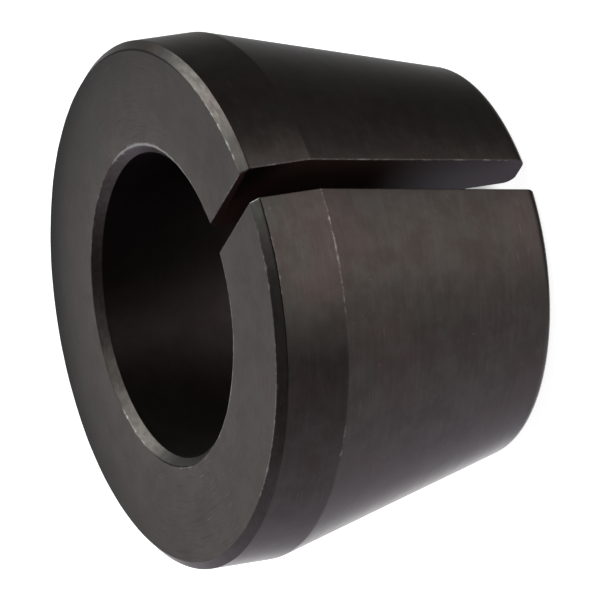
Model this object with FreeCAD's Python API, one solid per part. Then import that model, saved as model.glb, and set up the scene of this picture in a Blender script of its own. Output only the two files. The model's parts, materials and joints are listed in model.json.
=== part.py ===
import FreeCAD, Part
import math
import os

# A split taper collet for a router or a die grinder, turned and slit from one piece of steel.
# The origin is the centre of the small end's face. +Z runs along the bore to the wide face,
# and the slit opens towards +X. Lengths are in millimetres and angles in degrees.

SHANK_DIAMETER = 12.7
BODY_DIAMETER = 22.0
BODY_LENGTH = 14.0
LAND_LENGTH = 3.1
TAPER_HALF_ANGLE = 15.0
FACE_CHAMFER = 0.35
MOUTH_CHAMFER = 0.35
TAIL_MOUTH_CHAMFER = 0.3
TAIL_ROUNDING = 0.6
SLIT_WIDTH = 1.3
SLIT_OFFSET = 0.625


def corner(radius, height):
    """A point of the turned section, which is drawn in the XZ half plane."""
    return FreeCAD.Vector(radius, 0, height)


def outer_corners():
    """The land beside the wide face: face edge, chamfer and ridge, from the top down."""
    body_radius = BODY_DIAMETER / 2
    return [
        corner(body_radius - FACE_CHAMFER, BODY_LENGTH),
        corner(body_radius, BODY_LENGTH - FACE_CHAMFER),
        corner(body_radius, BODY_LENGTH - LAND_LENGTH),
    ]


def bore_corners():
    """The bore with its two broken mouths, from the small end up to the wide face."""
    bore_radius = SHANK_DIAMETER / 2
    return [
        corner(bore_radius + TAIL_MOUTH_CHAMFER, 0),
        corner(bore_radius, TAIL_MOUTH_CHAMFER),
        corner(bore_radius, BODY_LENGTH - MOUTH_CHAMFER),
        corner(bore_radius + MOUTH_CHAMFER, BODY_LENGTH),
    ]


def tail_rounding():
    """The arc that joins the taper to the small end's face, tangent to both."""
    taper = math.radians(TAPER_HALF_ANGLE)
    taper_length = BODY_LENGTH - LAND_LENGTH
    sharp_radius = BODY_DIAMETER / 2 - taper_length * math.tan(taper)
    trim = TAIL_ROUNDING * math.tan((math.pi / 2 - taper) / 2)
    half_way = -(math.pi / 2 + taper) / 2
    centre = corner(sharp_radius - trim, TAIL_ROUNDING)
    taper_end = corner(sharp_radius + trim * math.sin(taper), trim * math.cos(taper))
    arc_middle = centre + corner(math.cos(half_way), math.sin(half_way)) * TAIL_ROUNDING
    face_start = corner(sharp_radius - trim, 0)
    return taper_end, Part.Arc(taper_end, arc_middle, face_start).toShape(), face_start


def turned_blank():
    """The collet as it leaves the lathe: one closed section, turned about the bore's axis."""
    taper_end, rounding, face_start = tail_rounding()
    outside = outer_corners()
    land_and_taper = Part.makePolygon(outside + [taper_end])
    ends_and_bore = Part.makePolygon([face_start] + bore_corners() + [outside[0]])
    section = Part.Wire(land_and_taper.Edges + [rounding] + ends_and_bore.Edges)
    axis_foot = corner(0, 0)
    return Part.Face(section).revolve(axis_foot, FreeCAD.Vector(0, 0, 1), 360)


def slit_path():
    """What the saw takes away: a plate from the axis outwards, through the whole length.

    The cut is off centre, so one of its walls lies almost on the bore's axial plane.
    """
    run_out = SLIT_WIDTH
    reach = BODY_DIAMETER / 2 + run_out
    start = FreeCAD.Vector(0, -SLIT_OFFSET - SLIT_WIDTH / 2, -run_out)
    return Part.makeBox(reach, SLIT_WIDTH, BODY_LENGTH + 2 * run_out, start)


def collet():
    """The turned blank, slit once from end to end so that it can close on the shank."""
    return turned_blank().cut(slit_path())


os.makedirs("parts", exist_ok=True)
body = collet()
body.exportStep("parts/collet.step")
box = body.BoundBox
print("collet: valid", body.isValid(), "solids", len(body.Solids))
print("size", round(box.XLength, 3), round(box.YLength, 3), round(box.ZLength, 3))
print("volume", round(body.Volume, 2))
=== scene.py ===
# %% [markdown]
# # A split taper collet in blackened steel
#
# A collet is a slit ring that a nut squeezes round the shank of a cutter. This file takes the
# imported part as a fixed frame, builds a finely rounded mesh of the same turned form round it,
# and gives it the finish of oiled black oxide over fine turning marks. Everything is in metres.

import json
import math

import bpy
from mathutils import Matrix, Vector, noise


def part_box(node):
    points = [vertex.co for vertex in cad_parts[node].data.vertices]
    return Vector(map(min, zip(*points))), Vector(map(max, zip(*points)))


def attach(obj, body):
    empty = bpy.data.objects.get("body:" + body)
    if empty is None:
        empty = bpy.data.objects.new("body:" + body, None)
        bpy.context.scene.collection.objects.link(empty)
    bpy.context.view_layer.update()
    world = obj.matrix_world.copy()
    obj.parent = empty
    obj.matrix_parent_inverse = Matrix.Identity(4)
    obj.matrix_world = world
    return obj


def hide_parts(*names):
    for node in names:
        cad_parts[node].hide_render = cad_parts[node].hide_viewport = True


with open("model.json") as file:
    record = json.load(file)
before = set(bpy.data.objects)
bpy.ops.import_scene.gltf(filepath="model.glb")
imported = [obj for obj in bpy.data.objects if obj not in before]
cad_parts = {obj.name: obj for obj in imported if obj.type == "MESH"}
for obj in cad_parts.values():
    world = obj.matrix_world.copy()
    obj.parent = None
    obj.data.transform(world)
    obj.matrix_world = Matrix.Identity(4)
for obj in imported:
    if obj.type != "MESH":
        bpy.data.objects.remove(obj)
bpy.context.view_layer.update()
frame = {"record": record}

# %% [markdown]
# ## Sizes
#
# The overall sizes come from the frame, so that the dressed piece can't drift from the part: the
# length and the radius from the node's box, and the bore from the mount that states it. The
# small features that a box can't tell, such as the chamfers and the saw cut, are named here.

# %% Sizes of the turned form
MM = 0.001

box_low, box_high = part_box("collet")
mounts = {mount["name"]: mount for mount in frame["record"]["mounts"]}

body_radius = box_high.y
body_length = box_high.z
bore_radius = mounts["shank_bore"]["dims"]["r_mm"] * MM
land_length = 3.1 * MM
taper_angle = math.radians(15)
face_chamfer = 0.35 * MM
mouth_chamfer = 0.35 * MM
tail_mouth_chamfer = 0.3 * MM
tail_rounding = 0.6 * MM

slit_width = 1.3 * MM
slit_offset = 0.625 * MM
upper_wall = slit_width / 2 - slit_offset
lower_wall = -slit_width / 2 - slit_offset

tail_radius = body_radius - (body_length - land_length) * math.tan(taper_angle)
print("bore", round(2 * bore_radius / MM, 2), "mm, small end", round(2 * tail_radius / MM, 2), "mm")

# %% [markdown]
# ## The turned section
#
# On the real collet the section is what the lathe leaves: two faces, a land, a taper, a bore and
# a small chamfer at each mouth. No edge is truly sharp, and it is the rounded edge that catches
# the light, so each corner here becomes a short arc. A bevel modifier could do that on a
# finished mesh, but arcs in the section keep every edge's radius under its own name, and they
# tell each point which way is outwards, which the slit's edges need later.

# %% Corners of the section
edge_break = 0.06 * MM
ridge_break = 0.4 * MM
mouth_break = 0.075 * MM
tail_break = 0.45 * MM
arc_end_fall = 0.35


class Corner:
    """A corner of the section, its rounding, and the surface that follows it anticlockwise."""

    def __init__(self, name, radius, height, rounding, surface):
        self.name = name
        self.place = Vector((radius, height))
        self.rounding = rounding
        self.surface = surface


top = body_length
section_corners = [
    Corner("tail mouth", bore_radius + tail_mouth_chamfer, 0.0, tail_break, "small end"),
    Corner("tail", tail_radius, 0.0, tail_rounding, "taper"),
    Corner("ridge", body_radius, top - land_length, ridge_break, "land"),
    Corner("land edge", body_radius, top - face_chamfer, edge_break, "chamfer"),
    Corner("face edge", body_radius - face_chamfer, top, edge_break, "face"),
    Corner("mouth edge", bore_radius + mouth_chamfer, top, mouth_break, "mouth chamfer"),
    Corner("bore top", bore_radius, top - mouth_chamfer, edge_break, "bore"),
    Corner("bore foot", bore_radius, tail_mouth_chamfer, tail_break, "tail chamfer"),
]


class SectionPoint:
    """A point of the section: its place and outward direction, and how near an edge it is."""

    def __init__(self, place, outward, edge, nearness, surface):
        self.radius, self.height = place
        self.outward = outward
        self.edge = edge
        self.nearness = nearness
        self.surface = surface


def corner_arc(before, corner, after, steps):
    """The points of the arc that rounds one corner, with the directions that it turns through."""
    into = (corner.place - before.place).normalized()
    out = (after.place - corner.place).normalized()
    turn = math.atan2(into.x * out.y - into.y * out.x, into.dot(out))
    trim = corner.rounding * math.tan(turn / 2)
    inward = Vector((-into.y, into.x))
    centre = corner.place - into * trim + inward * corner.rounding
    points = []
    for step in range(steps + 1):
        outward = Matrix.Rotation(turn * step / steps, 2) @ -inward
        place = centre + outward * corner.rounding
        nearness = 1 - abs(2 * step / steps - 1) * arc_end_fall
        surface = before.surface if 2 * step < steps else corner.surface
        points.append(SectionPoint(place, outward, corner.name, nearness, surface))
    return points


# %% Walk round the section
worn_reach = [0.04 * MM, 0.1 * MM, 0.25 * MM]
longest_step = 0.55 * MM
short_share = 0.3
stretch_nearness = 0.65
arc_steps = 8


def stretch_stops(length):
    """Distances along a straight stretch: close together at its ends and even in the middle."""
    near = [reach for reach in worn_reach if reach < length * short_share]
    if not near:
        return [length / 2]
    start = near[-1]
    count = max(1, math.ceil((length - 2 * start) / longest_step))
    middle = [start + (length - 2 * start) * step / count for step in range(count + 1)]
    return near[:-1] + middle + [length - reach for reach in reversed(near[:-1])]


def straight_points(start, end):
    """The points between two arcs, along the straight stretch that joins them."""
    place = Vector((start.radius, start.height))
    along = Vector((end.radius, end.height)) - place
    length = along.length
    points = []
    for stop in stretch_stops(length):
        edge = start.edge if 2 * stop < length else end.edge
        nearness = stretch_nearness * math.exp(-min(stop, length - stop) / worn_reach[1])
        here = place + along * (stop / length)
        points.append(SectionPoint(here, start.outward, edge, nearness, start.surface))
    return points


def walk_section():
    """The whole closed section, anticlockwise from the small end's bore edge."""
    count = len(section_corners)
    arcs = []
    for index, corner in enumerate(section_corners):
        before = section_corners[index - 1]
        after = section_corners[(index + 1) % count]
        arcs.append(corner_arc(before, corner, after, arc_steps))
    points = []
    for index, arc in enumerate(arcs):
        following = arcs[(index + 1) % count]
        points += arc + straight_points(arc[-1], following[0])
    return points


section = walk_section()
print("section", len(section), "points")

# %% [markdown]
# ## Edges broken by hand
#
# The chamfers of the wide face are broken with a scraper held by hand, so their edges wander a
# little where the turned surfaces stay true. The wandering is a smooth random shift, which grows
# towards the edge. It runs along the face at the face's edges and along the land at the land's,
# so the face stays flat and the land round. Noise is read at a point on a circle, so it comes
# back to where it began and leaves no seam. A large circle gives quick changes, and a small one
# slow changes. The slow ones are read at a height given by the length of the edge's name, so the
# mouth's edge doesn't wander in step with the other two.

# %% Wandering edges
hand_wander = {
    "face edge": Vector((0.016, 0.0)) * MM,
    "mouth edge": Vector((0.028, 0.0)) * MM,
    "land edge": Vector((0.0, 0.022)) * MM,
}
slow_circle = 4.0
quick_circle = 15.0
quick_share = 0.8
quick_height = 3.0


def noise_round(angle, circle, height):
    """Smooth noise read on a circle of this radius, at this height."""
    return noise.noise(Vector((math.cos(angle) * circle, math.sin(angle) * circle, height)))


def wander(point, angle):
    """How far a point strays at this angle from the true turned form, outwards and upwards."""
    if point.edge not in hand_wander or point.surface == "bore":
        return Vector((0.0, 0.0))
    slow = noise_round(angle, slow_circle, len(point.edge))
    quick = noise_round(angle, quick_circle, quick_height)
    return hand_wander[point.edge] * (point.nearness * (slow + quick_share * quick))


print("mouth edge wanders by", round(hand_wander["mouth edge"].x / MM, 3), "mm")

# %% [markdown]
# ## Turning and slitting
#
# The slit's walls are flat and parallel, because a saw made them. A boolean cut would do, but it
# leaves long thin faces beside the cut, and those shade badly. Here the section is swept from
# one wall to the other instead: near a wall each ring is a flat slice parallel to it, and
# between the walls the rings fan out evenly. The last slices shrink inwards by a quarter round,
# which breaks the sawn edges.

# %% Rings from wall to wall
slit_break = 0.045 * MM
break_steps = 4
ring_count = 420


def place_at(point, angle):
    """A section point turned to an angle about the axis, with its hand-broken wandering."""
    stray = wander(point, angle)
    radius = point.radius + stray.x
    height = point.height + stray.y
    return Vector((radius * math.cos(angle), radius * math.sin(angle), height))


def slice_ring(wall, side, depth, inset):
    """A flat slice of the section, at a depth behind one wall of the slit."""
    across = wall + side * depth
    ring = []
    for point in section:
        angle = math.asin(across / point.radius)
        stray = wander(point, angle)
        radius = point.radius + stray.x - inset * point.outward.x
        height = point.height + stray.y - inset * point.outward.y
        along = math.sqrt(radius ** 2 - across ** 2)
        ring.append(Vector((along, across, height)))
    return ring


def wall_slices(wall, side):
    """The slices beside one wall, from the wall inwards, each with its nearness to the edge."""
    slices = []
    for step in range(break_steps + 1):
        swing = math.pi / 2 * (1 - step / break_steps)
        depth = slit_break * (1 - math.sin(swing))
        inset = slit_break * (1 - math.cos(swing))
        nearness = 1 - arc_end_fall * step / break_steps
        slices.append((slice_ring(wall, side, depth, inset), nearness))
    for reach in worn_reach:
        nearness = stretch_nearness * math.exp(-reach / worn_reach[1])
        slices.append((slice_ring(wall, side, slit_break + reach, 0.0), nearness))
    return slices


def fan_rings():
    """The rings between the two walls' slices, evenly spread round the axis."""
    behind = slit_break + worn_reach[-1]
    rings = []
    for step in range(1, ring_count):
        share = step / ring_count
        ring = []
        for point in section:
            start = math.asin((upper_wall + behind) / point.radius)
            end = 2 * math.pi + math.asin((lower_wall - behind) / point.radius)
            ring.append(place_at(point, start + (end - start) * share))
        rings.append((ring, 0.0))
    return rings


rings = wall_slices(upper_wall, 1) + fan_rings() + wall_slices(lower_wall, -1)[::-1]
print("rings", len(rings))

# %% [markdown]
# ## Where it is rubbed bright
#
# The oxide is thinnest on the edges, and handling takes it off there first: along the bore's
# mouth, where each shank goes in, on one side of the ridge, and on parts of the face's edge and
# the slit's. No edge is rubbed evenly all round, so each one lists its rubbed stretches: how
# much, at which angle, and how far to either side in degrees. The slit's edges are straight, so
# they list only how much, by the surface beside them. The material later breaks these bands up.

# %% Rubbed edges
rubbed_edges = {
    "mouth edge": [
        (1.3, 52, 64),
        (0.85, 310, 95),
        (0.6, 202, 34),
        (0.6, 242, 24),
        (0.45, 110, 60),
    ],
    "face edge": [(0.6, 12, 30), (0.62, -60, 52), (0.5, -24, 30)],
    "land edge": [(0.5, -20, 28)],
    "ridge": [(0.47, -21, 32), (0.44, -7, 8), (0.44, -62, 12)],
    "tail mouth": [(0.1, 0, 180)],
}
rubbed_upper_slit = {"taper": 0.4, "land": 0.42, "chamfer": 0.6, "face": 0.48}
rubbed_lower_slit = {"taper": 0.0, "land": 0.0, "chamfer": 0.8, "face": 0.4}


def bell(angle, centre, half_width):
    """One at the centre, in degrees, falling smoothly to nothing half a width away."""
    away = abs((math.degrees(angle) - centre + 180) % 360 - 180)
    return 0.5 + 0.5 * math.cos(math.pi * min(1.0, away / half_width))


def rubbing(edge, angle):
    """How much an edge is rubbed at this angle, by the strongest of its stretches there."""
    stretches = rubbed_edges.get(edge, [])
    return max([most * bell(angle, centre, reach) for most, centre, reach in stretches] + [0.0])


def rubbed_value(point, angle, ring_nearness, beside):
    """How bright one point is rubbed, by the nearest turned edge and by the slit's edge."""
    turned = point.nearness * rubbing(point.edge, angle)
    sawn = ring_nearness * beside.get(point.surface, 0.0)
    return max(turned, sawn)


print("rubbed edges", ", ".join(rubbed_edges))

# %% [markdown]
# Two more tones are painted shade and painted light. Thin black lines of painted shade run along
# the chamfer's edges, each on the side of the edge that is named with it, and a dull painted shade
# darkens the face's outer rim on one side. A painted light makes the face a little lighter round
# the bore and on one side, and the chamfer is lighter at two angles, where the nut bears on it and
# a painted highlight lies.

# %% Painted shade along the edges, and painted light on the face
# Painted shade lines: how dark, at which angle, and how far to either side in degrees.
shade_lines = {
    ("face edge", "face"): (2.0, 58, 42),
    ("face edge", "chamfer"): (2.0, 58, 42),
    ("land edge", "chamfer"): (2.4, -20, 42),
    ("mouth edge", "mouth chamfer"): (2.6, 236, 28),
}
unshaded = (0.0, 0, 90)
# Painted shade on the face's outer rim, on one side.
most_rim_shade = 0.62
rim_shade_width = 0.5
rim_shade_side = 135

plain = 0.5
# The chamfer is lighter at two angles, where the nut bears on it and a painted highlight lies.
nut_wear_and_highlight = [(0.3, 28, 22), (0.13, -8, 16)]
mouth_polish = 0.58
face_polish = 0.42
# Painted light: the face is lighter round the bore and on one side.
bore_ring_light = 0.35
ring_width = 0.3
side_light = 0.3
lit_side = math.radians(290)


def across_face(point):
    """How far out a point of the wide face lies, from 0 at the bore to 1 at the land."""
    return (point.radius - bore_radius) / (body_radius - bore_radius)


def hump(distance, width):
    """One at no distance, falling smoothly to about a third at the width and on to nothing."""
    return math.exp(-((distance / width) ** 2))


def shade_value(point, angle):
    """How dark the painted shade is at this point, in a line along an edge and on the face's rim.
    """
    most, centre, reach = shade_lines.get((point.edge, point.surface), unshaded)
    line = point.nearness ** 2 * most * bell(angle, centre, reach)
    rim_shade = 0.0
    if point.surface == "face":
        rim = hump(1 - across_face(point), rim_shade_width)
        rim_shade = most_rim_shade * rim * bell(angle, rim_shade_side, 180)
    return min(1.0, max(line, rim_shade))


def polish_and_light_value(point, angle):
    """How light a point is, by its polish and by painted light: half is plain, and one is the
    lightest.
    """
    if point.surface == "chamfer":
        bears = [most * bell(angle, centre, reach) for most, centre, reach in nut_wear_and_highlight]
        return plain + sum(bears)
    if point.surface == "mouth chamfer":
        return mouth_polish
    if point.surface != "face":
        return plain
    across = across_face(point)
    ring = bore_ring_light * hump(across, ring_width)
    side = side_light * across * math.cos(angle - lit_side)
    return face_polish + ring + side


print("stained edges", ", ".join(edge for edge, surface in shade_lines))

# %% [markdown]
# ## The mesh
#
# Each point also carries numbers that the finish will read: how far round the axis it lies, how
# far along the section, how much it is rubbed, how much painted shade lies on it, how light its
# polish and painted light make it, and whether it lies in the slit or the bore, which painted
# shade darkens. Turning marks run round the axis on every turned face, whether flat,
# straight or tapered, so the first two place them better than X, Y and Z could. The angle starts
# and ends at the slit, so it has no seam.

# %% Distances along the section, and the faces
def section_runs():
    """How far along the section each point lies, measured from the first."""
    runs = [0.0]
    for before, after in zip(section, section[1:]):
        step = math.hypot(after.radius - before.radius, after.height - before.height)
        runs.append(runs[-1] + step)
    return runs


def collet_faces():
    """Four-sided faces from ring to ring, and one flat face on each wall of the slit."""
    size = len(section)
    faces = []
    for ring in range(len(rings) - 1):
        for index in range(size):
            beside = (index + 1) % size
            here = ring * size
            faces.append((here + index, here + beside, here + size + beside, here + size + index))
    last = (len(rings) - 1) * size
    faces.append(tuple(range(size))[::-1])
    faces.append(tuple(last + index for index in range(size)))
    return faces


faces = collet_faces()
print("section", round(section_runs()[-1] / MM, 1), "mm round,", len(faces), "faces")

# %% [markdown]
# The numbers are stored as attributes of the mesh's points. Each function below gives a whole
# list, one number per point, in the order in which the rings follow each other.

# %% Numbers for the finish
# How much painted shade darkens the bore's colour.
bore_shade = 0.4


def add_point_values(mesh, name, values):
    """Stores one number per point on the mesh, for the material to read by name."""
    attribute = mesh.attributes.new(name, "FLOAT", "POINT")
    attribute.data.foreach_set("value", values)


def rubbed_values(angles):
    """One number per point of the mesh: how bright it is rubbed."""
    values = []
    for index, (ring, ring_nearness) in enumerate(rings):
        beside = rubbed_upper_slit if 2 * index < len(rings) else rubbed_lower_slit
        for column, point in enumerate(section):
            angle = angles[index * len(section) + column]
            values.append(rubbed_value(point, angle, ring_nearness, beside))
    return values


def turned_values(angles, value_at):
    """One number per point of the mesh, from its section point and its angle."""
    size = len(section)
    return [value_at(section[index % size], angle) for index, angle in enumerate(angles)]


def shaded_hollow_values():
    """One on the sawn walls, a share of painted shade in the bore, and nothing on the outer
    surfaces.
    """
    inside = [bore_shade if point.surface == "bore" else 0.0 for point in section]
    wall = [1.0] * len(section)
    return wall + inside * (len(rings) - 2) + wall


print("sheltered bore points", shaded_hollow_values().count(bore_shade))

# %% [markdown]
# The mesh is smooth shaded, since its rounded edges are real. The long flat and conical faces
# must still shade as flat, so a Weighted Normal modifier gives the largest faces the last word
# on the normals at their borders.

# %% Build the collet
def build_collet():
    """The collet's mesh, with the numbers that its finish reads."""
    mesh = bpy.data.meshes.new("collet_body")
    places = [place for ring, nearness in rings for place in ring]
    mesh.from_pydata(places, [], faces)
    runs = section_runs()
    angles = [math.atan2(place.y, place.x) % (2 * math.pi) for place in places]
    add_point_values(mesh, "turn_angle", angles)
    add_point_values(mesh, "turn_run", [run / MM for run in runs] * len(rings))
    add_point_values(mesh, "rubbed", rubbed_values(angles))
    add_point_values(mesh, "stained", turned_values(angles, shade_value))
    add_point_values(mesh, "polished", turned_values(angles, polish_and_light_value))
    add_point_values(mesh, "sheltered", shaded_hollow_values())
    mesh.validate()
    mesh.shade_smooth()
    piece = bpy.data.objects.new("collet_body", mesh)
    bpy.context.scene.collection.objects.link(piece)
    return piece


collet = build_collet()
flat_shading = collet.modifiers.new("even_faces", "WEIGHTED_NORMAL")
flat_shading.keep_sharp = True
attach(collet, "root")
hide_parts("collet")
print("collet", len(collet.data.vertices), "points,", len(collet.data.polygons), "faces")

# %% [markdown]
# ## The finish
#
# Black oxide is a skin of dark iron oxide, a few thousandths of a millimetre thick and kept
# oiled, so it hides no turning mark. It reflects little head-on and a lot at a glancing angle,
# like any metal oxide. A dark metallic shader gives that, with a small share left to diffuse
# brown. A painted look, with one flat colour and one roughness, would miss what makes it steel.
# The helpers below each make one node and hand back its output, so that the finish can be
# written as sums.

# %% Node helpers
def node(tree, kind, **settings):
    """A new node of this kind, with its settings."""
    made = tree.nodes.new(kind)
    for name, value in settings.items():
        setattr(made, name, value)
    return made


def mesh_number(tree, name):
    """The number that the mesh carries under this name."""
    return node(tree, "ShaderNodeAttribute", attribute_name=name).outputs["Fac"]


def feed(tree, socket, value):
    """Links an output into a socket, or sets the socket to a plain value."""
    if isinstance(value, bpy.types.NodeSocket):
        tree.links.new(value, socket)
    else:
        socket.default_value = value


def reckon(tree, operation, first, second=0.0, third=0.0):
    """One step of arithmetic."""
    made = node(tree, "ShaderNodeMath", operation=operation)
    for socket, value in zip(made.inputs, (first, second, third)):
        feed(tree, socket, value)
    return made.outputs["Value"]


def ramp_between(tree, value, low, high, low_result=0.0, high_result=1.0):
    """A smooth step of the value from one result to another."""
    made = node(tree, "ShaderNodeMapRange", interpolation_type="SMOOTHSTEP")
    names = ("Value", "From Min", "From Max", "To Min", "To Max")
    for name, setting in zip(names, (value, low, high, low_result, high_result)):
        feed(tree, made.inputs[name], setting)
    return made.outputs["Result"]


print("helpers: node, mesh_number, feed, reckon, ramp_between")

# %% [markdown]
# The next helpers deal with places, patterns and colours. A noise texture reads a place in three
# dimensions, so the same pattern runs on round every edge without a seam or an unwrapping. The
# Mix node has sockets of the same name for numbers and for colours, so there the sockets are
# taken by their number.

# %% Helpers for places, patterns and colours
mix_numbers = (0, 2, 3)
mix_colours = (0, 6, 7)


def vector_from(tree, x, y, z=0.0):
    """A vector from three numbers."""
    made = node(tree, "ShaderNodeCombineXYZ")
    for socket, value in zip(made.inputs, (x, y, z)):
        feed(tree, socket, value)
    return made.outputs["Vector"]


def lean_along(tree, vector, axis):
    """How far a direction leans along an axis, or how far a place lies along it."""
    made = node(tree, "ShaderNodeVectorMath", operation="DOT_PRODUCT")
    feed(tree, made.inputs[0], vector)
    made.inputs[1].default_value = axis
    return made.outputs["Value"]


def soft_noise(tree, vector, scale, detail=2.0, roughness=0.5):
    """A soft random pattern, read at the given place."""
    made = node(tree, "ShaderNodeTexNoise")
    feed(tree, made.inputs["Vector"], vector)
    made.inputs["Scale"].default_value = scale
    made.inputs["Detail"].default_value = detail
    made.inputs["Roughness"].default_value = roughness
    return made.outputs["Fac"]


def blend_colours(tree, share, first, second):
    """A colour between two others."""
    made = node(tree, "ShaderNodeMix", data_type="RGBA")
    for socket, value in zip(mix_colours, (share, first, second)):
        feed(tree, made.inputs[socket], value)
    return made.outputs[2]


def between(tree, share, first, second):
    """A number between two others."""
    made = node(tree, "ShaderNodeMix", data_type="FLOAT")
    for socket, value in zip(mix_numbers, (share, first, second)):
        feed(tree, made.inputs[socket], value)
    return made.outputs[0]


def toned(tree, colour, tone):
    """A colour made lighter or darker by a factor."""
    made = node(tree, "ShaderNodeVectorMath", operation="SCALE")
    feed(tree, made.inputs[0], colour)
    feed(tree, made.inputs["Scale"], tone)
    return made.outputs["Vector"]


print("Mix sockets for numbers", mix_numbers, "and for colours", mix_colours)

# %% [markdown]
# The turning marks are read from two numbers on the mesh: fast change along the section, slow
# change round the axis. The lathe's feed leaves marks less than a tenth of a millimetre apart,
# and here and there a mark is deeper for part of a turn. The coarse marks are the slower waves
# under the fine ones, the arcs are darker bands of a painted sheen at two ends of the face, and
# the chatter is what a shaking tool leaves on the chamfer, quick round the axis. Each pair says
# how many times the marks change in a millimetre along the section, and in a radian round the axis.

# %% Turning marks
fine_marks = (11.0, 6.0)
coarse_marks = (5.0, 4.0)
deep_marks = (15.0, 8.0)
arc_marks = (9.0, 5.0)
chatter_marks = (5.0, 20.0)


def turning_marks(tree, rates, detail=2.0):
    """Marks that change at these two rates, along the section and round the axis."""
    run = reckon(tree, "MULTIPLY", mesh_number(tree, "turn_run"), rates[0])
    turn = reckon(tree, "MULTIPLY", mesh_number(tree, "turn_angle"), rates[1])
    return soft_noise(tree, vector_from(tree, run, turn), 1.0, detail=detail)


print("fine turning marks", round(1 / fine_marks[0], 3), "mm apart")

# %% [markdown]
# The slit's walls carry no turning marks. A slitting saw leaves them flat, with faint straight
# scratches along its way, and they are the darkest and dullest faces. A painted shade makes them
# darker and duller towards the wide face, and lighter and a little glossier near the small end.

# %% Saw marks
saw_rates = (9000.0, 9000.0, 500.0)


def saw_marks(tree, place):
    """Faint scratches on the slit's walls, along the collet's length."""
    stretched = node(tree, "ShaderNodeVectorMath", operation="MULTIPLY")
    feed(tree, stretched.inputs[0], place)
    stretched.inputs[1].default_value = saw_rates
    return soft_noise(tree, stretched.outputs["Vector"], 1.0, detail=1.0)


print("saw scratches", round(1000 / saw_rates[0], 2), "mm apart")

# %% [markdown]
# Black oxide is never one black. It is clouded in patches of about a millimetre, and wider
# patches of about three are a little brown or a little green. The bore is darkened with painted
# shade, and the slit's walls carry a painted shade that is darkest towards the wide face. Colours
# are written as linear values, as a shader reads them.

# %% Colours of the oxide
oxide_dark = (0.049, 0.038, 0.034, 1.0)
oxide_light = (0.064, 0.053, 0.048, 1.0)
oxide_brown = (0.068, 0.046, 0.043, 1.0)
oxide_green = (0.050, 0.050, 0.042, 1.0)
# The darker colour of the painted shade in the bore.
bore_shade_oxide = (0.024, 0.0145, 0.0155, 1.0)
# The slit walls' colours: lighter near the small end and darker towards the wide face, a painted
# shade.
lit_wall_oxide = (0.048, 0.027, 0.031, 1.0)
shaded_wall_oxide = (0.05, 0.028, 0.022, 1.0)
shade_black = (0.006, 0.005, 0.005, 1.0)
bare_steel = (0.34, 0.33, 0.315, 1.0)


def oxide_colour(tree, place):
    """The oxide's own colour: clouded on a small scale, with a touch of brown or green."""
    clouds = soft_noise(tree, place, 800.0, detail=5.0, roughness=0.7)
    cloud = ramp_between(tree, clouds, 0.35, 0.65)
    warm = ramp_between(tree, soft_noise(tree, place, 330.0, detail=3.0), 0.5, 0.7)
    cool = ramp_between(tree, soft_noise(tree, place, 420.0, detail=3.0), 0.52, 0.72)
    skin = blend_colours(tree, cloud, oxide_dark, oxide_light)
    skin = blend_colours(tree, reckon(tree, "MULTIPLY", warm, 0.5), skin, oxide_brown)
    return blend_colours(tree, reckon(tree, "MULTIPLY", cool, 0.45), skin, oxide_green)


def shaded_hollow_skin(tree, on_wall, wall_shade):
    """The darker colours of painted shade: in the bore, and along the slit's walls towards the wide
    face.
    """
    wall_skin = blend_colours(tree, wall_shade, lit_wall_oxide, shaded_wall_oxide)
    return blend_colours(tree, on_wall, bore_shade_oxide, wall_skin)


print("oxide from", oxide_dark[:3], "to", oxide_light[:3])

# %% [markdown]
# Where the collet is handled and pressed into its seat, the oxide is rubbed through at the edges
# to bright steel. The mesh says how much a point is rubbed, and a broken pattern along the edge
# decides where the steel shows, because a rubbed edge is never even. A painted sheen lies on two
# opposite ends of the wide face, and there its deeper turning marks shine in clusters among darker
# arcs.

# %% Bare steel
# The angle of the painted sheen on the face, at this angle and opposite.
sheen_angle = math.radians(64)
upward = (0.0, 0.0, 1.0)


def rubbed_through(tree, place):
    """How much bare steel shows: a strong rub is whole, and a weak one breaks into patches."""
    patches = soft_noise(tree, place, 2600.0, detail=4.0, roughness=0.7)
    level = reckon(tree, "MULTIPLY_ADD", patches, 1.3, -0.65)
    level = reckon(tree, "MULTIPLY_ADD", mesh_number(tree, "rubbed"), 1.2, level)
    return ramp_between(tree, level, 0.3, 1.0)


def worn_metal(tree, place, scratches, sheltered):
    """How much bare steel shows: at rubbed edges, in scratches and in a few tiny specks."""
    grain = soft_noise(tree, place, 4600.0, detail=1.0)
    specks = ramp_between(tree, grain, 0.77, 0.83, 0.0, 0.14)
    bare = reckon(tree, "MAXIMUM", rubbed_through(tree, place), scratches)
    bare = reckon(tree, "MAXIMUM", bare, specks)
    return reckon(tree, "MULTIPLY", bare, reckon(tree, "SUBTRACT", 1.0, sheltered))


def sheen_ends(tree):
    """One at the two ends of the face where the painted sheen lies, and nothing between."""
    turn = reckon(tree, "SUBTRACT", mesh_number(tree, "turn_angle"), sheen_angle)
    return ramp_between(tree, reckon(tree, "ABSOLUTE", reckon(tree, "COSINE", turn)), 0.8, 0.97)


def facing(tree, coordinates):
    """How far a point is part of the wide face, and how far part of its outer chamfer."""
    upright = lean_along(tree, coordinates.outputs["Normal"], upward)
    on_face = ramp_between(tree, upright, 0.9, 0.99)
    on_chamfer = reckon(tree, "SUBTRACT", ramp_between(tree, upright, 0.45, 0.6), on_face)
    return on_face, on_chamfer


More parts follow.
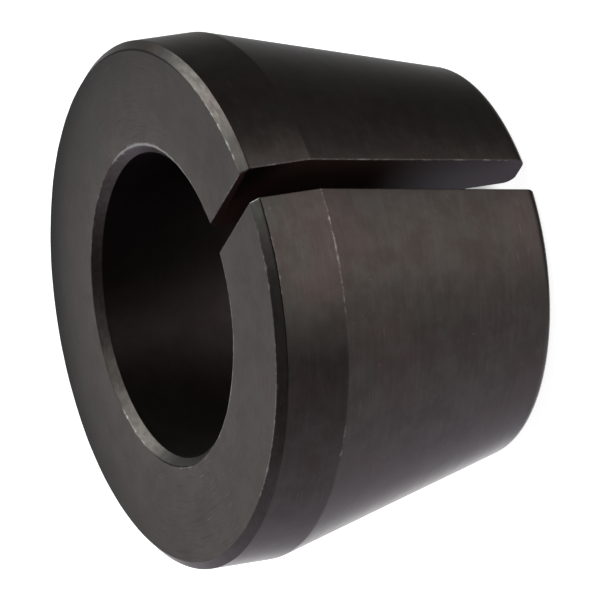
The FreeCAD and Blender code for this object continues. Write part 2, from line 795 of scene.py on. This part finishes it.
def scratches_on(tree, place, marks, polished, painted_sheen):
    """Scratches: the deeper turning marks, in clusters, brightest in the painted sheen at the
    face's two ends.
    """
    depth = between(tree, painted_sheen, 0.09, ramp_between(tree, polished, 0.5, 0.8, 0.16, 0.45))
    clusters = ramp_between(tree, soft_noise(tree, place, 300.0), 0.48, 0.58)
    return reckon(tree, "MULTIPLY", marks, reckon(tree, "MULTIPLY", clusters, depth))


print("handled ends at", round(math.degrees(sheen_angle)), "degrees and opposite")

# %% [markdown]
# The same marks also make the oxide lighter and darker, and cut a relief into it. The relief is
# only a bump, because the marks are a few thousandths of a millimetre deep, far too fine to
# model.

# %% Tones and relief
relief_depth = 0.004 * MM


def skin_tone(tree, fine, coarse, polished, painted_sheen, on_face, on_chamfer):
    """How light the oxide is, by its turning marks, its chatter, its polish and painted light, and
    the painted sheen of arcs on the face.
    """
    tone = ramp_between(tree, coarse, 0.34, 0.66, 0.94, 1.05)
    arcs = ramp_between(tree, turning_marks(tree, arc_marks), 0.34, 0.46, 0.74, 1.0)
    face_tone = between(tree, painted_sheen, ramp_between(tree, fine, 0.36, 0.64, 0.95, 1.05), arcs)
    tone = reckon(tree, "MULTIPLY", tone, between(tree, on_face, 1.0, face_tone))
    chatter = turning_marks(tree, chatter_marks, detail=4.0)
    chattered = reckon(tree, "MULTIPLY", on_chamfer, ramp_between(tree, polished, 0.5, 0.7, 0.3))
    chamfer_tone = ramp_between(tree, chatter, 0.36, 0.64, 0.78, 1.22)
    tone = reckon(tree, "MULTIPLY", tone, between(tree, chattered, 1.0, chamfer_tone))
    # Polish and painted light make the oxide lighter here.
    polish = ramp_between(tree, polished, 0.05, 0.95, 0.6, 1.3)
    return reckon(tree, "MULTIPLY", tone, polish)


def grooves_bump(tree, place, fine, coarse, marks, on_face, sheltered):
    """The relief of the turning marks, or of the saw's scratches on the slit's walls."""
    grooves = reckon(tree, "MULTIPLY", fine, between(tree, on_face, 0.5, 2.2))
    grooves = reckon(tree, "MULTIPLY_ADD", coarse, 0.4, grooves)
    grooves = reckon(tree, "MULTIPLY_ADD", marks, -0.5, grooves)
    sawn = reckon(tree, "MULTIPLY", saw_marks(tree, place), 0.5)
    bump = node(tree, "ShaderNodeBump")
    bump.inputs["Strength"].default_value = 0.5
    bump.inputs["Distance"].default_value = relief_depth
    feed(tree, bump.inputs["Height"], between(tree, sheltered, grooves, sawn))
    return bump.outputs["Normal"]


print("relief", round(relief_depth / MM, 3), "mm deep")

# %% [markdown]
# The shader brings these together. Its colour goes from the oxide to bare steel where it is
# worn, and to black where painted shade lies. Where painted shade lies it is also rougher and far
# less metallic, and the slit's walls lose their metal and shine towards the wide face, so the
# painted shade stays dark in any light.

# %% Put the finish together
# Painted shade on the slit's walls: from the first height to the second they turn darker and lose
# their shine.
wall_shade_start = 1.5 * MM
wall_shade_end = 7.5 * MM
oxide_roughness = 0.3
hidden_roughness = 0.42
# Roughness, metal and shine where painted shade lies.
shade_roughness = 0.6
oxide_metal = 0.82
shade_metal = 0.1
oxide_shine = 0.5
shade_shine = 0.1
# The slit walls' metal and shine near the small end, where the painted shade is lightest.
lit_wall_metal = 0.12
lit_wall_shine = 0.17


def black_oxide_steel():
    """Oiled black oxide over turned steel, rubbed through along its edges."""
    material = bpy.data.materials.new("black_oxide_steel")
    material.use_nodes = True
    tree = material.node_tree
    shader = tree.nodes["Principled BSDF"]
    coordinates = node(tree, "ShaderNodeTexCoord")
    place = coordinates.outputs["Object"]
    on_face, on_chamfer = facing(tree, coordinates)
    polished = mesh_number(tree, "polished")
    # Painted shade darkens the bore, and this same number also marks the sawn walls.
    sheltered = mesh_number(tree, "sheltered")
    on_wall = ramp_between(tree, sheltered, 0.5, 1.0)
    height = lean_along(tree, place, upward)
    # Painted shade on the slit's walls, growing towards the wide face.
    wall_shade = ramp_between(tree, height, wall_shade_start, wall_shade_end)
    # Painted shade along edges and on the face's rim.
    stained = ramp_between(tree, mesh_number(tree, "stained"), 0.1, 0.8, 0.0, 0.95)
    fine = turning_marks(tree, fine_marks)
    coarse = turning_marks(tree, coarse_marks, detail=3.0)
    marks = ramp_between(tree, turning_marks(tree, deep_marks), 0.62, 0.74)
    # The painted sheen at the face's two ends.
    painted_sheen = reckon(tree, "MULTIPLY", on_face, sheen_ends(tree))

    tone = skin_tone(tree, fine, coarse, polished, painted_sheen, on_face, on_chamfer)
    skin = toned(tree, oxide_colour(tree, place), tone)
    # The bore and the slit's walls take the darker colours of painted shade.
    skin = blend_colours(tree, sheltered, skin, shaded_hollow_skin(tree, on_wall, wall_shade))
    scratches = scratches_on(tree, place, marks, polished, painted_sheen)
    shown = worn_metal(tree, place, scratches, sheltered)
    colour = blend_colours(tree, shown, skin, bare_steel)
    colour = blend_colours(tree, stained, colour, shade_black)
    feed(tree, shader.inputs["Base Color"], colour)

    gloss = reckon(tree, "MULTIPLY_ADD", fine, 0.06, oxide_roughness)
    gloss = reckon(tree, "MULTIPLY_ADD", coarse, 0.08, gloss)
    gloss = between(tree, sheltered, gloss, hidden_roughness)
    feed(tree, shader.inputs["Roughness"], between(tree, stained, gloss, shade_roughness))
    outer_metal = between(tree, stained, oxide_metal, shade_metal)
    wall_metal = between(tree, wall_shade, lit_wall_metal, 0.0)
    feed(tree, shader.inputs["Metallic"], between(tree, on_wall, outer_metal, wall_metal))
    outer_shine = between(tree, stained, oxide_shine, shade_shine)
    wall_shine = between(tree, wall_shade, lit_wall_shine, 0.0)
    shine = between(tree, on_wall, outer_shine, wall_shine)
    feed(tree, shader.inputs["Specular IOR Level"], shine)
    shader.inputs["IOR"].default_value = 1.5
    relief = grooves_bump(tree, place, fine, coarse, marks, on_face, sheltered)
    feed(tree, shader.inputs["Normal"], relief)
    return material


collet.data.materials.append(black_oxide_steel())
print("finish", collet.data.materials[0].name)

# %% [markdown]
# ## Camera
#
# The photograph is taken from a long way off, so the collet shows almost no perspective: a long
# lens from half a metre does that. The collet stands on its small end here, and lay on its side
# in the photograph, so the camera is rolled by nearly a quarter turn. Its place and its three
# directions are written as vectors, because with such a roll no angle would be easy to read.

# %% Place the camera
sensor_millimetres = 36.0
picture_pixels = 600
focal_pixels = 12000
nearest_seen = 0.05
farthest_seen = 5.0
camera_place = Vector((401.5433, -201.8156, 218.6336)) * MM
picture_right = Vector((0.307633, -0.323529, -0.894813))
picture_up = Vector((0.500234, 0.854961, -0.137141))
towards_camera = Vector((0.809399, -0.405427, 0.424854))


def add_camera():
    """The camera, looking against towards_camera, with the picture's own right and up."""
    data = bpy.data.cameras.new("camera")
    data.sensor_width = sensor_millimetres
    data.lens = sensor_millimetres * focal_pixels / picture_pixels
    data.clip_start = nearest_seen
    data.clip_end = farthest_seen
    camera = bpy.data.objects.new("camera", data)
    turn = Matrix((picture_right, picture_up, towards_camera)).transposed()
    camera.matrix_world = Matrix.Translation(camera_place) @ turn.to_4x4()
    bpy.context.scene.collection.objects.link(camera)
    bpy.context.scene.camera = camera
    return camera


camera = add_camera()
print("lens", round(camera.data.lens), "mm")

# %% [markdown]
# ## Floor
#
# A plain pale floor, so that the collet stands on something and keeps its shadow. It is white
# to the camera by its own colour and a glow that only the camera sees. Inside the bore the floor
# lies in the collet's own shade, so the glow is weaker there, weakest beside the wall, and comes
# back where light enters by the slit. Polished dark steel shows its surroundings, and in the
# photograph those are a white tent on every side, so the floor is left out of reflections and
# the tent shows there too.

# %% Lay the floor
floor_half = 1.0
paper_colour = (0.55, 0.55, 0.55, 1.0)
open_glow = 0.92
mid_bore_glow = 0.5
bore_wall_glow = 0.28
under_wall = (bore_radius + 0.4 * MM, tail_radius - 0.6 * MM)
slit_light = (3 * MM, 5.5 * MM)
plain_white = (1.0, 1.0, 1.0, 1.0)


def pale_floor():
    """White paper: a plain diffuse sheet that glows a little for the camera alone."""
    material = bpy.data.materials.new("pale_floor")
    material.use_nodes = True
    tree = material.node_tree
    tree.nodes.remove(tree.nodes["Principled BSDF"])
    paper = node(tree, "ShaderNodeBsdfDiffuse")
    paper.inputs["Color"].default_value = paper_colour
    glow = node(tree, "ShaderNodeEmission")
    glow.inputs["Color"].default_value = plain_white
    place = node(tree, "ShaderNodeTexCoord").outputs["Object"]
    away = node(tree, "ShaderNodeVectorMath", operation="LENGTH")
    feed(tree, away.inputs[0], place)
    far = away.outputs["Value"]
    in_bore = ramp_between(tree, far, 0.0, bore_radius, mid_bore_glow, bore_wall_glow)
    outside = ramp_between(tree, far, *under_wall)
    by_slit = ramp_between(tree, lean_along(tree, place, (1.0, 0.0, 0.0)), *slit_light)
    strength = between(tree, reckon(tree, "MAXIMUM", outside, by_slit), in_bore, open_glow)
    seen = node(tree, "ShaderNodeLightPath").outputs["Is Camera Ray"]
    feed(tree, glow.inputs["Strength"], reckon(tree, "MULTIPLY", seen, strength))
    both = node(tree, "ShaderNodeAddShader")
    feed(tree, both.inputs[0], paper.outputs["BSDF"])
    feed(tree, both.inputs[1], glow.outputs["Emission"])
    feed(tree, tree.nodes["Material Output"].inputs["Surface"], both.outputs["Shader"])
    return material


def add_floor():
    """One flat sheet under the collet."""
    mesh = bpy.data.meshes.new("floor")
    reach = floor_half
    corners = [(-reach, -reach, 0), (reach, -reach, 0), (reach, reach, 0), (-reach, reach, 0)]
    mesh.from_pydata(corners, [], [(0, 1, 2, 3)])
    mesh.materials.append(pale_floor())
    floor = bpy.data.objects.new("floor", mesh)
    floor.visible_glossy = False
    bpy.context.scene.collection.objects.link(floor)
    return floor


add_floor()
print("floor", 2 * floor_half, "m wide")

# %% [markdown]
# ## The light tent
#
# A dark glossy part is lit by what it mirrors. The tent has a dim roof, a pale table, a white
# back and six soft panels: three behind the collet, which its outline mirrors, two high on the
# left, which the chamfers catch, and one in front on the right, which the land and the taper
# catch. It is painted on the world by direction, along the right, up and towards of the main
# picture, so it stands still when another view is taken. The camera itself sees plain white.

# %% Hang the tent
white_light = (1.0, 1.0, 1.0)
cool_light = (0.89, 1.0, 0.985)
violet_cloth = (1.03, 0.99, 1.13, 1.0)


def softbox(tree, direction, right, up, towards, half_width, soft_edge, strength):
    """A round light panel in one direction of the tent, with a soft rim. Widths in degrees."""
    aim = picture_right * right + picture_up * up + towards_camera * towards
    lean = lean_along(tree, direction, aim.normalized())
    rim = math.cos(math.radians(half_width + soft_edge))
    core = math.cos(math.radians(half_width - soft_edge))
    return ramp_between(tree, lean, rim, core, 0.0, strength)


def added(tree, first, second):
    """The sum of two colours of light."""
    made = node(tree, "ShaderNodeVectorMath", operation="ADD")
    feed(tree, made.inputs[0], first)
    feed(tree, made.inputs[1], second)
    return made.outputs["Vector"]


def tent_walls(tree, direction):
    """The cloth of the tent: pale low down and behind, dim overhead and round the camera."""
    up = lean_along(tree, direction, picture_up)
    towards = lean_along(tree, direction, towards_camera)
    right = lean_along(tree, direction, picture_right)
    walls = ramp_between(tree, up, -0.1, 0.62, 0.7, 0.07)
    front_shade = ramp_between(tree, towards, -0.05, 0.5, 1.0, 0.15)
    right_keep = ramp_between(tree, right, 0.4, 0.9, 0.0, 0.25)
    walls = reckon(tree, "MULTIPLY", walls, reckon(tree, "ADD", front_shade, right_keep))
    gap = softbox(tree, direction, 0.8, 0.15, -0.58, 20, 8, 0.85)
    walls = reckon(tree, "MULTIPLY", walls, reckon(tree, "SUBTRACT", 1.0, gap))
    violet_share = ramp_between(tree, up, -0.6, -0.2, 1.0, 0.0)
    cloth = blend_colours(tree, violet_share, plain_white, violet_cloth)
    return toned(tree, cloth, walls)


print("cloth", violet_cloth[:3], "low down, and white above")

# %% [markdown]
# Each panel is given by its direction in the picture's right, up and towards, then by its half
# width and the width of its soft rim in degrees, and last by its strength. The two left panels
# are slightly cool, because the photograph's chamfers are.

# %% Light the tent
def hang_tent():
    """The world: a tent by direction, and plain white for the camera."""
    world = bpy.data.worlds.new("light_tent")
    bpy.context.scene.world = world
    world.use_nodes = True
    tree = world.node_tree
    direction = node(tree, "ShaderNodeTexCoord").outputs["Generated"]
    low_back = softbox(tree, direction, 0.1, -0.13, -1.0, 13, 7, 1.3)
    right_back = softbox(tree, direction, 0.33, 0.03, -0.94, 15, 7, 1.0)
    high_back = softbox(tree, direction, 0.1, 0.28, -0.95, 19, 14, 0.11)
    high_left = softbox(tree, direction, -0.77, 0.63, 0.02, 21, 7, 4.8)
    left_front = softbox(tree, direction, -0.73, 0.38, 0.58, 16, 10, 1.5)
    right_front = softbox(tree, direction, 0.72, 0.44, 0.51, 30, 12, 1.85)
    panels = [
        (white_light, low_back),
        (white_light, right_back),
        (white_light, high_back),
        (cool_light, high_left),
        (cool_light, left_front),
        (white_light, right_front),
    ]
    light = tent_walls(tree, direction)
    for tint, strength in panels:
        light = added(tree, light, toned(tree, tint, strength))
    seen = node(tree, "ShaderNodeLightPath").outputs["Is Camera Ray"]
    background = tree.nodes["Background"]
    feed(tree, background.inputs["Color"], blend_colours(tree, seen, light, plain_white))
    background.inputs["Strength"].default_value = 1.0
    return world


hang_tent()
bpy.context.scene.view_settings.view_transform = "Standard"
print("tent hung")
